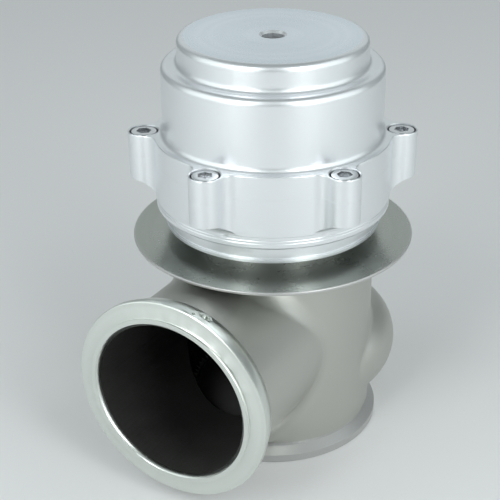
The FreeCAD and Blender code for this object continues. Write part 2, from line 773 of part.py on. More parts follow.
def diaphragm():
    """Rolling diaphragm: clamped rim, one upward roll and a disc under the piston."""
    outer_leg = "cap_bore_radius - wall_gap"
    inner_leg = "piston_radius + wall_gap"
    crest = "piston_level + roll_height"
    sheet_top = "diaphragm_thickness"
    middle = f"({outer_leg} + {inner_leg}) / 2"
    outside = f"({outer_leg} - ({inner_leg})) / 2"
    inside = f"{outside} - diaphragm_thickness"
    return turned("diaphragm", [
        ("diaphragm_rim_radius", f"split_level - {sheet_top}"),
        ("diaphragm_rim_radius", "split_level"), (outer_leg, "split_level"),
        *arc_corners(middle, crest, outside, 0, 180, 6),
        (inner_leg, "piston_level"), ("stem_hole_radius", "piston_level"),
        ("stem_hole_radius", "diaphragm_level"),
        (f"{inner_leg} + {sheet_top}", "diaphragm_level"),
        *arc_corners(middle, crest, inside, 180, 0, 4),
        (f"{outer_leg} - {sheet_top}", f"split_level - {sheet_top}")])


def piston():
    """Cup above the diaphragm that takes the springs."""
    bore = "piston_radius - piston_wall"
    skirt_top = "piston_level + piston_height"
    body = turned("piston", [
        ("stem_hole_radius", "piston_level"), ("piston_radius", "piston_level"),
        ("piston_radius", skirt_top), (bore, skirt_top), (bore, "spring_level"),
        ("stem_hole_radius", "spring_level")])
    softened(body, "Chamfer", "cup_corner", "edge_break", ring_edge("piston_radius", "piston_level"))
    softened(body, "Chamfer", "cup_lip", "edge_break", ring_edge("piston_radius", skirt_top))
    return body


def lock_nut():
    """Hexagon nut that ties the piston to the stem."""
    body = piece("stem_nut")
    sketch = sketch_on(body, "nut_outline", "XY_Plane", "washer_top")
    hexagon(sketch, "nut_width")
    disc(sketch, "stem_hole_radius")
    pad(body, "nut", sketch, "nut_height")
    return body


def spring(label, radius, wire, turns):
    """Compression spring with closed, ground ends, standing in the piston."""
    mean, thick = number(radius), number(wire)
    foot, crown = number("spring_level + piece_gap"), number("spring_top - piece_gap")
    low = foot + thick * GROUND_SHARE
    active = (crown - foot - 2 * thick * (1 + GROUND_SHARE)) / (turns - 2)
    sections = []
    for step in range(turns * COIL_STEPS + 1):
        turn = step / COIL_STEPS
        closed = min(turn, 1) + max(turn - turns + 1, 0)
        level = low + closed * thick + (turn - closed) * active
        sections.append(wire_section(mean, thick / 2, level, 2 * math.pi * turn))
    coil = Part.makeLoft(sections, True, True)
    room = Part.makeCylinder(mean + thick, crown - foot, Vector(0, 0, foot))
    feature = doc.addObject("Part::Feature", label)
    feature.Label = label
    feature.Shape = coil.common(room)
    return feature


def wire_section(mean, half, level, turned_by):
    """The wire's section at one place along a coil."""
    ring = []
    for side in range(WIRE_SIDES):
        angle = 2 * math.pi * (side + 0.5) / WIRE_SIDES
        reach = mean + half * math.cos(angle)
        ring.append(Vector(reach * math.cos(turned_by), reach * math.sin(turned_by),
                           level + half * math.sin(angle)))
    return Part.makePolygon(ring + ring[:1])


def build():
    """Every sub-part, in the order of assembly from the inlet upwards."""
    parts = [
        valve_seat(),
        valve_body(),
        valve(),
        washer_shape("valve_guide", "sliding_radius", "guide_radius",
                     "boss_low - guide_proud", "pocket_floor"),
        washer_shape("stem_seal", "sliding_radius", "seal_pocket_radius - piece_gap",
                     "pocket_floor", "pocket_floor + seal_height"),
        washer_shape("seal_retainer", "sliding_radius + piece_gap", "seal_pocket_radius - piece_gap",
                     "pocket_floor + seal_height",
                     "pocket_floor + seal_height + retaining_ring_height"),
        *stack_pieces(),
        base_collar(),
        ring_seal("collar_oring", "sliding_radius", "oring_section",
                  "housing_level - oring_pocket_depth"),
        lower_housing(),
        washer_shape("stem_bush", "sliding_radius", "guide_radius", "housing_level", "bush_top"),
        base_washers(),
        socket_screws("base_screws", "base_circle_radius", "base_start_angle",
                      "base_head_level", "base_screw_length", "base_screw_count"),
        washer_shape("diaphragm_plate", "stem_hole_radius", "retainer_radius",
                     "retainer_base", "diaphragm_level"),
        diaphragm(),
        piston(),
        washer_shape("stem_washer", "stem_hole_radius", "washer_radius",
                     "spring_level", "washer_top"),
        lock_nut(),
        spring("outer_spring", "outer_spring_radius", "outer_spring_wire", 5),
        spring("middle_spring", "middle_spring_radius", "middle_spring_wire", 6),
        spring("inner_spring", "inner_spring_radius", "inner_spring_wire", 8),
        washer_shape("spring_seat", "top_boss_radius + 4 * piece_gap", "spring_seat_radius",
                     "spring_top", "ceiling_level"),
        cap(),
        socket_screws("cap_screws", "lobe_circle_radius", "lobe_start_angle",
                      "cap_head_level", "cap_screw_length", "lobe_count"),
    ]
    return parts


def check(parts):
    """Stop if any object failed or any sub-part has no sound shape."""
    doc.recompute()
    for item in doc.Objects:
        if {"Invalid", "Error"} & set(item.State):
            raise RuntimeError(f"{item.Name}: {item.State}")
    for part in parts:
        if part.Shape.isNull() or not part.Shape.isValid() or not part.Shape.Solids:
            raise RuntimeError(f"{part.Label}: no valid shape")


def main():
    """Build, check and write one STEP file for each sub-part."""
    parts = build()
    doc.removeObject(gauge.Name)
    check(parts)
    os.makedirs("parts", exist_ok=True)
    for part in parts:
        part.Shape.exportStep(f"parts/{part.Label}.step")
        box = part.Shape.BoundBox
        print(f"{part.Label:16s} {len(part.Shape.Solids)} solid(s) {part.Shape.Volume / 1000:8.2f} cm3"
              f"  z {box.ZMin:.1f} to {box.ZMax:.1f}")


main()
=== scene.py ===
"""Looks of the turbo wastegate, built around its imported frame.

The actuator's housing halves, their screws, the heat shield, the springs and the diaphragm are
built here from their own outlines. The cast body is a smoothed copy of its CAD solid, and the
small turned pieces inside keep their CAD shape. Everything is in metres, in the frame's axes.
"""

import logging
import math
from dataclasses import dataclass
from enum import Enum, IntEnum

import bmesh
import bpy
import numpy as np
from mathutils import Matrix, Vector


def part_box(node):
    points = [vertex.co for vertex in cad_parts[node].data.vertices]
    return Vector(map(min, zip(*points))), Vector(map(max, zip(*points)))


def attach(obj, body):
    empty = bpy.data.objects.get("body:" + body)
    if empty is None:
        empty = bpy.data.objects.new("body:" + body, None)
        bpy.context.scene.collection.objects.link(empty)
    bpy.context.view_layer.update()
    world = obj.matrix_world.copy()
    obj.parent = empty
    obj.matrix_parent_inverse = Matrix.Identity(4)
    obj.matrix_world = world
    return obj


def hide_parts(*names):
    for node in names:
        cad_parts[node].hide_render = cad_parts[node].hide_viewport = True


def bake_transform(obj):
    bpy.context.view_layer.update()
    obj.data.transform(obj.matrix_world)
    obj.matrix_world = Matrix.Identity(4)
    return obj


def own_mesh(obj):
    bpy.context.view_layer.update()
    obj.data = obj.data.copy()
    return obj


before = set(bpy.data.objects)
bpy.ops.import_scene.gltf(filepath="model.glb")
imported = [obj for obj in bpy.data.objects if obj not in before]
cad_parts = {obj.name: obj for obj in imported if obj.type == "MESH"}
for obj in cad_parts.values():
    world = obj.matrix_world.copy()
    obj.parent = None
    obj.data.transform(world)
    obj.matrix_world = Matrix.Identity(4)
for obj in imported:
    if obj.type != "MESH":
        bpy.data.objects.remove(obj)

LOG = logging.getLogger("wastegate")
MM = 0.001
BODY = "body"
OUTLET_LEVEL = 44.9  # height of the outlet's line, in millimetres
ACROSS_THE_GROOVES = 0.25  # a quarter turn: gloss spreads across lathe marks, not along them
UP = Vector((0, 0, 1))
SAME_POINT = 1e-7  # metres within which two points are one
TONE_RANGE = (0.3, 0.7)  # the part of the noise that the two tones are spread over
TONE_SCALE = 0.12  # scale of the lathe marks' soft tone, as a share of the rings'
WAVE_SCALE, MOTTLE_SCALE = 0.09, 0.025  # scales of a blasted skin's waves and tone, in pits'
WAVE_HEIGHT = 1.5  # how much taller the waves are than the pits
HANDLED_RANGE = (0.42, 0.68)  # the part of the noise that handling marks are spread over
MIX_COLOURS, MIX_RESULT = (6, 7), 2  # a mix node's colour sockets
SMUDGE_SHARE = 0.6  # how much of the roughness's change comes from handling marks

Point = tuple[float, float]
Rings = list[list[Vector]]


# ---------------------------------------------------------------- outlines and meshes


class Axis(Enum):
    """The line that a turned piece was turned about."""

    VALVE = "valve"
    OUTLET = "outlet"


@dataclass(frozen=True)
class Corner:
    """One corner of a turned outline: its radius, its level and its rounding, in millimetres."""

    radius: float
    level: float
    rounding: float = 0.0


def rounded(corners: list[Corner], steps: int = 7, closed: bool = True) -> list[Point]:
    """Turn corners into outline points, with an arc at each rounded one.

    Args:
        corners: The outline's corners in order.
        steps: Pieces in each arc.
        closed: Whether the last corner joins the first.

    Returns:
        Points as (radius, level) in millimetres.
    """
    points: list[Point] = []
    count = len(corners)
    for index, corner in enumerate(corners):
        here = np.array([corner.radius, corner.level])
        at_end = not closed and index in (0, count - 1)
        if corner.rounding <= 0 or at_end:
            points.append((corner.radius, corner.level))
            continue
        before, after = corners[index - 1], corners[(index + 1) % count]
        back = np.array([before.radius, before.level]) - here
        ahead = np.array([after.radius, after.level]) - here
        back /= np.linalg.norm(back)
        ahead /= np.linalg.norm(ahead)
        half = math.acos(float(np.clip(back @ ahead, -1, 1))) / 2
        reach = corner.rounding / math.tan(half)
        bisector = (back + ahead) / np.linalg.norm(back + ahead)
        centre = here + bisector * corner.rounding / math.sin(half)
        start, end = here + back * reach - centre, here + ahead * reach - centre
        first = math.atan2(start[1], start[0])
        sweep = (math.atan2(end[1], end[0]) - first + math.pi) % (2 * math.pi) - math.pi
        for step in range(steps + 1):
            turn = first + sweep * step / steps
            points.append((centre[0] + corner.rounding * math.cos(turn),
                           centre[1] + corner.rounding * math.sin(turn)))
    return points


def ring(radius: float, level: float, turns: list[float]) -> list[Vector]:
    """A circle about the valve axis, in millimetres, at the given polar angles."""
    return [Vector((radius * math.cos(turn), radius * math.sin(turn), level)) for turn in turns]


def even_turns(count: int) -> list[float]:
    """Polar angles spread evenly over a full turn."""
    return [2 * math.pi * index / count for index in range(count)]


def linked(name: str, mesh: bpy.types.Mesh) -> bpy.types.Object:
    """Put a mesh into the scene as a new piece."""
    piece = bpy.data.objects.new(name, mesh)
    bpy.context.scene.collection.objects.link(piece)
    return piece


def skinned(name: str, rings: Rings, closed: bool = True) -> bpy.types.Object:
    """Join equal rings of points into one surface.

    Args:
        name: The piece's name.
        rings: Loops with the same number of points, in millimetres.
        closed: Join the last ring to the first; otherwise cap both ends.

    Returns:
        The new piece, with doubled points merged and faces turned outwards.
    """
    mesh = bpy.data.meshes.new(name)
    shape = bmesh.new()
    loops = [[shape.verts.new(point * MM) for point in loop] for loop in rings]
    pairs = list(zip(loops, loops[1:]))
    if closed:
        pairs.append((loops[-1], loops[0]))
    for low, high in pairs:
        for index in range(len(low)):
            following = (index + 1) % len(low)
            shape.faces.new((low[index], low[following], high[following], high[index]))
    if not closed:
        shape.faces.new(list(reversed(loops[0])))
        shape.faces.new(loops[-1])
    bmesh.ops.remove_doubles(shape, verts=shape.verts, dist=SAME_POINT)
    bmesh.ops.dissolve_degenerate(shape, edges=shape.edges, dist=SAME_POINT / 10)
    bmesh.ops.recalc_face_normals(shape, faces=shape.faces)
    shape.to_mesh(mesh)
    shape.free()
    return linked(name, mesh)


def turned(name: str, points: list[Point], count: int = 180) -> bpy.types.Object:
    """A ring-shaped piece turned about the valve axis from a closed outline."""
    turns = even_turns(count)
    return skinned(name, [ring(radius, level, turns) for radius, level in points])


def cut(piece: bpy.types.Object, cutters: list[bpy.types.Object]) -> None:
    """Take cutters out of a piece and delete them.

    Args:
        piece: The piece to cut.
        cutters: Closed solids to take out of it.
    """
    for cutter in cutters:
        modifier = piece.modifiers.new("cut", "BOOLEAN")
        modifier.operation = "DIFFERENCE"
        modifier.solver = "EXACT"
        modifier.object = cutter
    bpy.context.view_layer.update()
    graph = bpy.context.evaluated_depsgraph_get()
    mesh = bpy.data.meshes.new_from_object(piece.evaluated_get(graph))
    piece.modifiers.clear()
    old, piece.data = piece.data, mesh
    bpy.data.meshes.remove(old)
    for cutter in cutters:
        bpy.data.objects.remove(cutter)


def smoothed(piece: bpy.types.Object, crease: float = 28.0) -> None:
    """Shade a piece smoothly and keep its creases.

    Args:
        piece: The piece to shade.
        crease: Degrees above which an edge stays sharp.
    """
    mesh = piece.data
    mesh.shade_smooth()
    mesh.set_sharp_from_angle(angle=math.radians(crease))
    weighted = piece.modifiers.new("flat_faces", "WEIGHTED_NORMAL")
    weighted.keep_sharp = True
    weighted.weight = 100


def peg(corners: list[Point], place: Vector, along: Vector, count: int = 48) -> bpy.types.Object:
    """A solid turned about its own line, used as a cutter.

    Args:
        corners: (radius, height) pairs in millimetres from the foot to the top.
        place: Where the foot's centre goes, in millimetres.
        along: The direction of the line.
        count: Points round the peg.

    Returns:
        The peg, already moved to its place.
    """
    turns = even_turns(count)
    piece = skinned("cutter", [ring(radius, height, turns) for radius, height in corners], False)
    turn = UP.rotation_difference(along).to_matrix().to_4x4()
    piece.data.transform(Matrix.Translation(place * MM) @ turn)
    return piece


def joined(name: str, pieces: list[bpy.types.Object]) -> bpy.types.Object:
    """Join pieces of one kind into a single object.

    Args:
        name: The joined piece's name.
        pieces: The pieces, which are removed.

    Returns:
        The joined piece.
    """
    shape = bmesh.new()
    for piece in pieces:
        shape.from_mesh(piece.data)
        bpy.data.objects.remove(piece)
    mesh = bpy.data.meshes.new(name)
    shape.to_mesh(mesh)
    shape.free()
    return linked(name, mesh)


def low_mm(node: str) -> Vector:
    """A CAD node's lowest corner in millimetres."""
    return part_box(node)[0] / MM


def high_mm(node: str) -> Vector:
    """A CAD node's highest corner in millimetres."""
    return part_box(node)[1] / MM


# ---------------------------------------------------------------- finishes


def new_group(name: str, inputs: dict[str, tuple[str, float]], outputs: dict[str, str]) \
        -> tuple[bpy.types.NodeTree, bpy.types.Node, bpy.types.Node]:
    """Start a shader node group.

    Args:
        name: The group's name.
        inputs: Socket kind and starting value for each input.
        outputs: Socket kind for each output.

    Returns:
        The group with its input and output nodes.
    """
    group = bpy.data.node_groups.new(name, "ShaderNodeTree")
    for label, (kind, value) in inputs.items():
        socket = group.interface.new_socket(label, in_out="INPUT", socket_type=kind)
        if kind == "NodeSocketFloat":
            socket.default_value = value
    for label, kind in outputs.items():
        group.interface.new_socket(label, in_out="OUTPUT", socket_type=kind)
    return group, group.nodes.new("NodeGroupInput"), group.nodes.new("NodeGroupOutput")


def math_node(tree: bpy.types.NodeTree, kind: str, first: object, second: object = None) \
        -> bpy.types.NodeSocket:
    """Add a Math node.

    Args:
        tree: The tree it goes into.
        kind: Its operation.
        first: A socket or a plain number.
        second: The same, where the operation takes two.

    Returns:
        The result's socket.
    """
    node = tree.nodes.new("ShaderNodeMath")
    node.operation = kind
    for socket, value in zip(node.inputs, (first, second)):
        if isinstance(value, bpy.types.NodeSocket):
            tree.links.new(value, socket)
        elif value is not None:
            socket.default_value = value
    return node.outputs[0]


def set_inputs(node: bpy.types.Node, values: dict[str, object]) -> None:
    """Give a node's inputs, by name, their plain values."""
    for label, value in values.items():
        node.inputs[label].default_value = value


def spread_node(tree: bpy.types.NodeTree, value: bpy.types.NodeSocket,
                before: tuple[float, float] = (0.0, 1.0),
                after: tuple[float, float] = (0.0, 1.0)) -> bpy.types.NodeSocket:
    """Add a node that moves a value from one range to another.

    Args:
        tree: The tree it goes into.
        value: The value's socket.
        before: The range it comes from.
        after: The range it goes to.

    Returns:
        The result's socket.
    """
    node = tree.nodes.new("ShaderNodeMapRange")
    set_inputs(node, {"From Min": before[0], "From Max": before[1],
                      "To Min": after[0], "To Max": after[1]})
    tree.links.new(value, node.inputs["Value"])
    return node.outputs["Result"]


def noise_node(tree: bpy.types.NodeTree, place: bpy.types.NodeSocket, scale: object,
               detail: float, roughness: float = 0.5) -> bpy.types.NodeSocket:
    """Add a noise texture.

    Args:
        tree: The tree it goes into.
        place: Where the noise is read.
        scale: A socket or a plain number.
        detail: Octaves of finer noise.
        roughness: How strong the finer noise is.

    Returns:
        The noise's value.
    """
    node = tree.nodes.new("ShaderNodeTexNoise")
    tree.links.new(place, node.inputs["Vector"])
    if isinstance(scale, bpy.types.NodeSocket):
        tree.links.new(scale, node.inputs["Scale"])
    else:
        node.inputs["Scale"].default_value = scale
    set_inputs(node, {"Detail": detail, "Roughness": roughness})
    return node.outputs["Fac"]


def lathe_group() -> bpy.types.NodeTree:
    """Fine rings left by a lathe: noise that changes with radius and height but not round them.

    Returns:
        A group that puts out the rings' Height and a soft Tone.
    """
    group, entry, leave = new_group(
        "lathe_marks",
        {"Position": ("NodeSocketVector", 0), "Rings per metre": ("NodeSocketFloat", 900.0)},
        {"Height": "NodeSocketFloat", "Tone": "NodeSocketFloat"})
    apart = group.nodes.new("ShaderNodeSeparateXYZ")
    group.links.new(entry.outputs["Position"], apart.inputs[0])
    across = math_node(group, "MULTIPLY", apart.outputs[0], apart.outputs[0])
    along = math_node(group, "MULTIPLY", apart.outputs[1], apart.outputs[1])
    radius = math_node(group, "SQRT", math_node(group, "ADD", across, along))
    flat = group.nodes.new("ShaderNodeCombineXYZ")
    group.links.new(radius, flat.inputs[0])
    group.links.new(apart.outputs[2], flat.inputs[2])
    fine = noise_node(group, flat.outputs[0], entry.outputs["Rings per metre"], 3.0, 0.7)
    broad = noise_node(group, flat.outputs[0],
                       math_node(group, "MULTIPLY", entry.outputs["Rings per metre"], TONE_SCALE),
                       2.0)
    group.links.new(fine, leave.inputs["Height"])
    group.links.new(broad, leave.inputs["Tone"])
    return group


def blast_group() -> bpy.types.NodeTree:
    """Grain of a bead-blasted casting: fine pits over a soft mottle.

    Returns:
        A group that puts out the pits' Height and a soft Tone.
    """
    group, entry, leave = new_group(
        "blast_marks",
        {"Position": ("NodeSocketVector", 0), "Pits per metre": ("NodeSocketFloat", 1800.0)},
        {"Height": "NodeSocketFloat", "Tone": "NodeSocketFloat"})
    pits = noise_node(group, entry.outputs["Position"], entry.outputs["Pits per metre"], 2.0, 0.6)
    waves = noise_node(group, entry.outputs["Position"],
                       math_node(group, "MULTIPLY", entry.outputs["Pits per metre"], WAVE_SCALE),
                       2.0)
    tall = math_node(group, "ADD", math_node(group, "MULTIPLY", waves, WAVE_HEIGHT), pits)
    mottle = noise_node(group, entry.outputs["Position"],
                        math_node(group, "MULTIPLY", entry.outputs["Pits per metre"],
                                  MOTTLE_SCALE), 4.0)
    group.links.new(tall, leave.inputs["Height"])
    group.links.new(mottle, leave.inputs["Tone"])
    return group


def smudge_group() -> bpy.types.NodeTree:
    """Faint handling marks, from broad noise.

    Returns:
        A group that puts out a Mask.
    """
    group, entry, leave = new_group(
        "handling_marks",
        {"Position": ("NodeSocketVector", 0), "Size": ("NodeSocketFloat", 35.0)},
        {"Mask": "NodeSocketFloat"})
    cloud = noise_node(group, entry.outputs["Position"], entry.outputs["Size"], 5.0, 0.65)
    group.links.new(spread_node(group, cloud, HANDLED_RANGE), leave.inputs["Mask"])
    return group


class Grain(Enum):
    """How a surface was worked."""

    TURNED = "lathe_marks"
    BLASTED = "blast_marks"


@dataclass(frozen=True)
class Finish:
    """One finish: its two tones, gloss, grain and how deep the grain is."""

    name: str
    light: tuple[float, float, float]
    dark: tuple[float, float, float]
    grain: Grain
    scale: float
    depth: float
    roughness: tuple[float, float]
    metallic: float = 1.0
    anisotropic: float = 0.0
    axis: Axis = Axis.VALVE

    def material(self) -> bpy.types.Material:
        """Build the finish once.

        Returns:
            Its node material.
        """
        made = bpy.data.materials.get(self.name)
        if made:
            return made
        made = bpy.data.materials.new(self.name)
        made.use_nodes = True
        tree = made.node_tree
        shader = tree.nodes["Principled BSDF"]
        set_inputs(shader, {"Metallic": self.metallic, "Anisotropic": self.anisotropic,
                            "Anisotropic Rotation": ACROSS_THE_GROOVES})
        place = self.position(tree)
        marks = tree.nodes.new("ShaderNodeGroup")
        marks.node_tree = GRAINS[self.grain]
        tree.links.new(place, marks.inputs[0])
        marks.inputs[1].default_value = self.scale
        smudges = tree.nodes.new("ShaderNodeGroup")
        smudges.node_tree = HANDLING
        tree.links.new(place, smudges.inputs[0])
        self.colour(tree, shader, marks.outputs["Tone"])
        self.gloss(tree, shader, smudges.outputs["Mask"], marks.outputs["Height"])
        bump = tree.nodes.new("ShaderNodeBump")
        bump.inputs["Distance"].default_value = self.depth
        tree.links.new(marks.outputs["Height"], bump.inputs["Height"])
        tree.links.new(bump.outputs["Normal"], shader.inputs["Normal"])
        if self.anisotropic:
            tangent = tree.nodes.new("ShaderNodeTangent")
            tangent.direction_type = "RADIAL"
            tangent.axis = "Z"
            tree.links.new(tangent.outputs[0], shader.inputs["Tangent"])
        return made

    def position(self, tree: bpy.types.NodeTree) -> bpy.types.NodeSocket:
        """Object coordinates, turned so that the lathe's axis is the third one.

        Args:
            tree: The material's nodes.

        Returns:
            The coordinates' socket.
        """
        spot = tree.nodes.new("ShaderNodeTexCoord").outputs["Object"]
        if self.axis is Axis.VALVE:
            return spot
        turn = tree.nodes.new("ShaderNodeMapping")
        turn.vector_type = "TEXTURE"
        set_inputs(turn, {"Location": UP * OUTLET_LEVEL * MM, "Rotation": (math.pi / 2, 0, 0)})
        tree.links.new(spot, turn.inputs["Vector"])
        return turn.outputs[0]

    def colour(self, tree: bpy.types.NodeTree, shader: bpy.types.Node,
               tone: bpy.types.NodeSocket) -> None:
        """Mix the two tones by the grain's soft tone.

        Args:
            tree: The material's nodes.
            shader: The shader that takes the colour.
            tone: The grain's soft tone.
        """
        mix = tree.nodes.new("ShaderNodeMix")
        mix.data_type = "RGBA"
        for socket, colour in zip(MIX_COLOURS, (self.dark, self.light)):
            mix.inputs[socket].default_value = (*colour, 1.0)
        tree.links.new(spread_node(tree, tone, TONE_RANGE), mix.inputs[0])
        tree.links.new(mix.outputs[MIX_RESULT], shader.inputs["Base Color"])

    def gloss(self, tree: bpy.types.NodeTree, shader: bpy.types.Node,
              smudge: bpy.types.NodeSocket, height: bpy.types.NodeSocket) -> None:
        """Let handling marks and grain vary the roughness between its two ends.

        Args:
            tree: The material's nodes.
            shader: The shader that takes the roughness.
            smudge: The handling marks' mask.
            height: The grain's height.
        """
        both = math_node(tree, "ADD", math_node(tree, "MULTIPLY", smudge, SMUDGE_SHARE),
                         math_node(tree, "MULTIPLY", height, 1 - SMUDGE_SHARE))
        tree.links.new(spread_node(tree, both, after=self.roughness), shader.inputs["Roughness"])


GRAINS: dict[Grain, bpy.types.NodeTree] = {
    Grain.TURNED: lathe_group(), Grain.BLASTED: blast_group()}
HANDLING = smudge_group()

POLISHED = Finish("polished_aluminium", (0.82, 0.92, 0.915), (0.76, 0.86, 0.855), Grain.TURNED,
                  1400.0, 4e-6, (0.40, 0.46), anisotropic=0.9)
FACED = Finish("faced_aluminium", (0.85, 0.91, 0.96), (0.79, 0.86, 0.91), Grain.TURNED,
               1600.0, 2e-6, (0.22, 0.32), anisotropic=0.5)
PLAIN_ALUMINIUM = Finish("plain_aluminium", (0.72, 0.73, 0.74), (0.62, 0.63, 0.64),
                         Grain.TURNED, 1200.0, 1e-5, (0.25, 0.4))
CAST = Finish("cast_stainless", (0.64, 0.69, 0.61), (0.53, 0.57, 0.505), Grain.BLASTED,
              1500.0, 4e-5, (0.36, 0.52))
# Painted shade: the gas passage's inner walls are the same cast stainless as the outside, coloured
# near-black to stand for the shade inside them.
PAINTED_SHADE_BORE = Finish("cast_bore_painted_shade", (0.055, 0.055, 0.050), (0.030, 0.030, 0.028), Grain.BLASTED,
              1300.0, 6e-5, (0.5, 0.7), metallic=0.6)
MACHINED = Finish("machined_stainless", (0.68, 0.70, 0.67), (0.58, 0.60, 0.57), Grain.TURNED,
                  1300.0, 1e-5, (0.20, 0.34), anisotropic=0.5)
# Painted light: the same machined stainless as the inlet and valve, coloured lighter on the outlet
# flange to stand for the light falling on it.
MACHINED_OUTLET_PAINTED_LIGHT = Finish("machined_outlet_painted_light", (0.78, 0.81, 0.77), (0.69, 0.72, 0.68), Grain.TURNED,
                         1300.0, 1e-5, (0.26, 0.40), axis=Axis.OUTLET)
SHIELD = Finish("rolled_stainless", (0.46, 0.48, 0.445), (0.37, 0.39, 0.36), Grain.TURNED,
                700.0, 5e-6, (0.24, 0.34), anisotropic=0.7)
SCREW = Finish("bright_zinc", (0.78, 0.79, 0.80), (0.66, 0.67, 0.69), Grain.TURNED,
               2500.0, 1e-5, (0.18, 0.30))
SPRING = Finish("oil_black_steel", (0.10, 0.10, 0.11), (0.05, 0.05, 0.06), Grain.BLASTED,
                2500.0, 1e-5, (0.3, 0.5), metallic=0.8)
BRONZE = Finish("turned_bronze", (0.58, 0.40, 0.19), (0.46, 0.31, 0.14), Grain.TURNED,
                1800.0, 1e-5, (0.25, 0.4))
SILICONE = Finish("ribbed_silicone", (0.05, 0.07, 0.20), (0.035, 0.05, 0.15), Grain.BLASTED,
                  3000.0, 4e-5, (0.45, 0.6), metallic=0.0)
SEAL = Finish("seal_rubber", (0.03, 0.03, 0.03), (0.018, 0.018, 0.018), Grain.BLASTED,
              3500.0, 2e-5, (0.5, 0.7), metallic=0.0)
GRAPHITE = Finish("pressed_graphite", (0.11, 0.11, 0.11), (0.06, 0.06, 0.06), Grain.BLASTED,
                  3000.0, 3e-5, (0.5, 0.65), metallic=0.3)


def dress(piece: bpy.types.Object, *finishes: Finish) -> None:
    """Give a piece its finishes, one per material slot."""
    piece.data.materials.clear()
    for finish in finishes:
        piece.data.materials.append(finish.material())


def fitted(piece: bpy.types.Object, slot: str, node: str, *finishes: Finish,
           crease: float = 28.0) -> None:
    """Finish a piece, shade it and let it ride the body in place of its CAD node.

    Args:
        piece: The piece.
        slot: The record's material slot; not used.
        node: The CAD node that it stands for.
        finishes: One for each material slot of the piece.
        crease: Degrees above which an edge stays sharp.
    """
    dress(piece, *finishes)
    smoothed(piece, crease)
    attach(piece, BODY)
    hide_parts(node)


# ---------------------------------------------------------------- actuator housing


@dataclass(frozen=True)
class LobeRing:
    """The outline that both housing halves share: a round wall with six screw lobes."""

    wall: float = 44.5
    circle: float = 48.0
    lobe: float = 6.0
    blend: float = 5.0
    count: int = 6
    start: float = 30.0
    tip_points: int = 7
    side_points: int = 22
    wall_points: int = 22
    full_cut: float = 52.5
    close_points: tuple[int, int] = (160, 120)

    def half(self) -> np.ndarray:
        """Draw half of one lobe's outline closely.

        Returns:
            Points from the lobe's tip to the wall, in millimetres.
        """
        blend_circle = self.wall + self.blend
        reach = self.lobe + self.blend
        end = math.acos((self.circle ** 2 + blend_circle ** 2 - reach ** 2)
                        / (2 * self.circle * blend_circle))
        centre = np.array([self.circle, 0.0])
        hollow = blend_circle * np.array([math.cos(end), math.sin(end)])
        meet = hollow - centre
        lobe_end = math.atan2(meet[1], meet[0])
        tip = [centre + self.lobe * np.array([math.cos(a), math.sin(a)])
               for a in np.linspace(0, lobe_end, self.close_points[0])]
        side = [hollow + self.blend * np.array([math.cos(a), math.sin(a)])
                for a in np.linspace(lobe_end + math.pi, end + math.pi, self.close_points[1])]
        return np.array(tip + side[1:])

    def half_points(self, limit: float | None) -> list[np.ndarray]:
        """Space points along half of one lobe.

        Args:
            limit: Radius that the lobe is cut back to, if any.

        Returns:
            Points from the lobe's tip to the wall, as many for each limit.
        """
        line = self.half()
        radii = np.linalg.norm(line, axis=1)
        steps = np.concatenate([[0], np.cumsum(np.linalg.norm(np.diff(line, axis=0), axis=1))])
        top = limit if limit is not None else self.full_cut
        start = float(np.interp(-top, -radii, steps))
        where = start + (steps[-1] - start) * np.linspace(0, 1, self.side_points)
        side = np.stack([np.interp(where, steps, line[:, k]) for k in (0, 1)], axis=1)
        if limit is None:
            inner = np.linspace(0, start, self.tip_points + 1)[:-1]
            tip = np.stack([np.interp(inner, steps, line[:, k]) for k in (0, 1)], axis=1)
        else:
            turn = math.atan2(side[0][1], side[0][0])
            tip = np.array([[limit * math.cos(a), limit * math.sin(a)]
                            for a in np.linspace(0, turn, self.tip_points + 1)[:-1]])
        return [*tip, *side]

    def outline(self, limit: float | None = None) -> list[Point]:
        """Draw the whole outline, counter-clockwise.

        Args:
            limit: Radius that the lobes are cut back to, if any.

        Returns:
            The outline's points, in millimetres.
        """
        half = self.half_points(limit)
        end = math.atan2(half[-1][1], half[-1][0])
        sector = 2 * math.pi / self.count
        wall = [(self.wall * math.cos(a), self.wall * math.sin(a))
                for a in np.linspace(end, sector - end, self.wall_points + 1)[1:-1]]
        one = [*half, *wall]
        mirrored = [(x * math.cos(sector) + y * math.sin(sector),
                     x * math.sin(sector) - y * math.cos(sector)) for x, y in reversed(half[1:])]
        points: list[Point] = []
        for index in range(self.count):
            turn = math.radians(self.start) + sector * index
            cosine, sine = math.cos(turn), math.sin(turn)
            points.extend((x * cosine - y * sine, x * sine + y * cosine)
                          for x, y in [*one, *mirrored])
        return points

    def turns(self) -> list[float]:
        """The polar angle of each outline point."""
        return [math.atan2(y, x) for x, y in self.outline()]

    def centres(self) -> list[Vector]:
        """The lobes' centres in the plane."""
        turns = [math.radians(self.start) + 2 * math.pi * k / self.count
                 for k in range(self.count)]
        return [Vector((self.circle * math.cos(a), self.circle * math.sin(a), 0)) for a in turns]

    def inset(self, depth: float) -> list[Point]:
        """Move the outline inwards along its own normals.

        Args:
            depth: How far, in millimetres.

        Returns:
            The moved points.
        """
        points = np.array(self.outline())
        ahead = np.roll(points, -1, axis=0) - np.roll(points, 1, axis=0)
        ahead /= np.linalg.norm(ahead, axis=1)[:, None]
        return [tuple(p) for p in points - depth * np.stack([ahead[:, 1], -ahead[:, 0]], axis=1)]


def lifted(points: list[Point], level: float) -> list[Vector]:
    """Plane points raised to a level."""
    return [Vector((x, y, level)) for x, y in points]


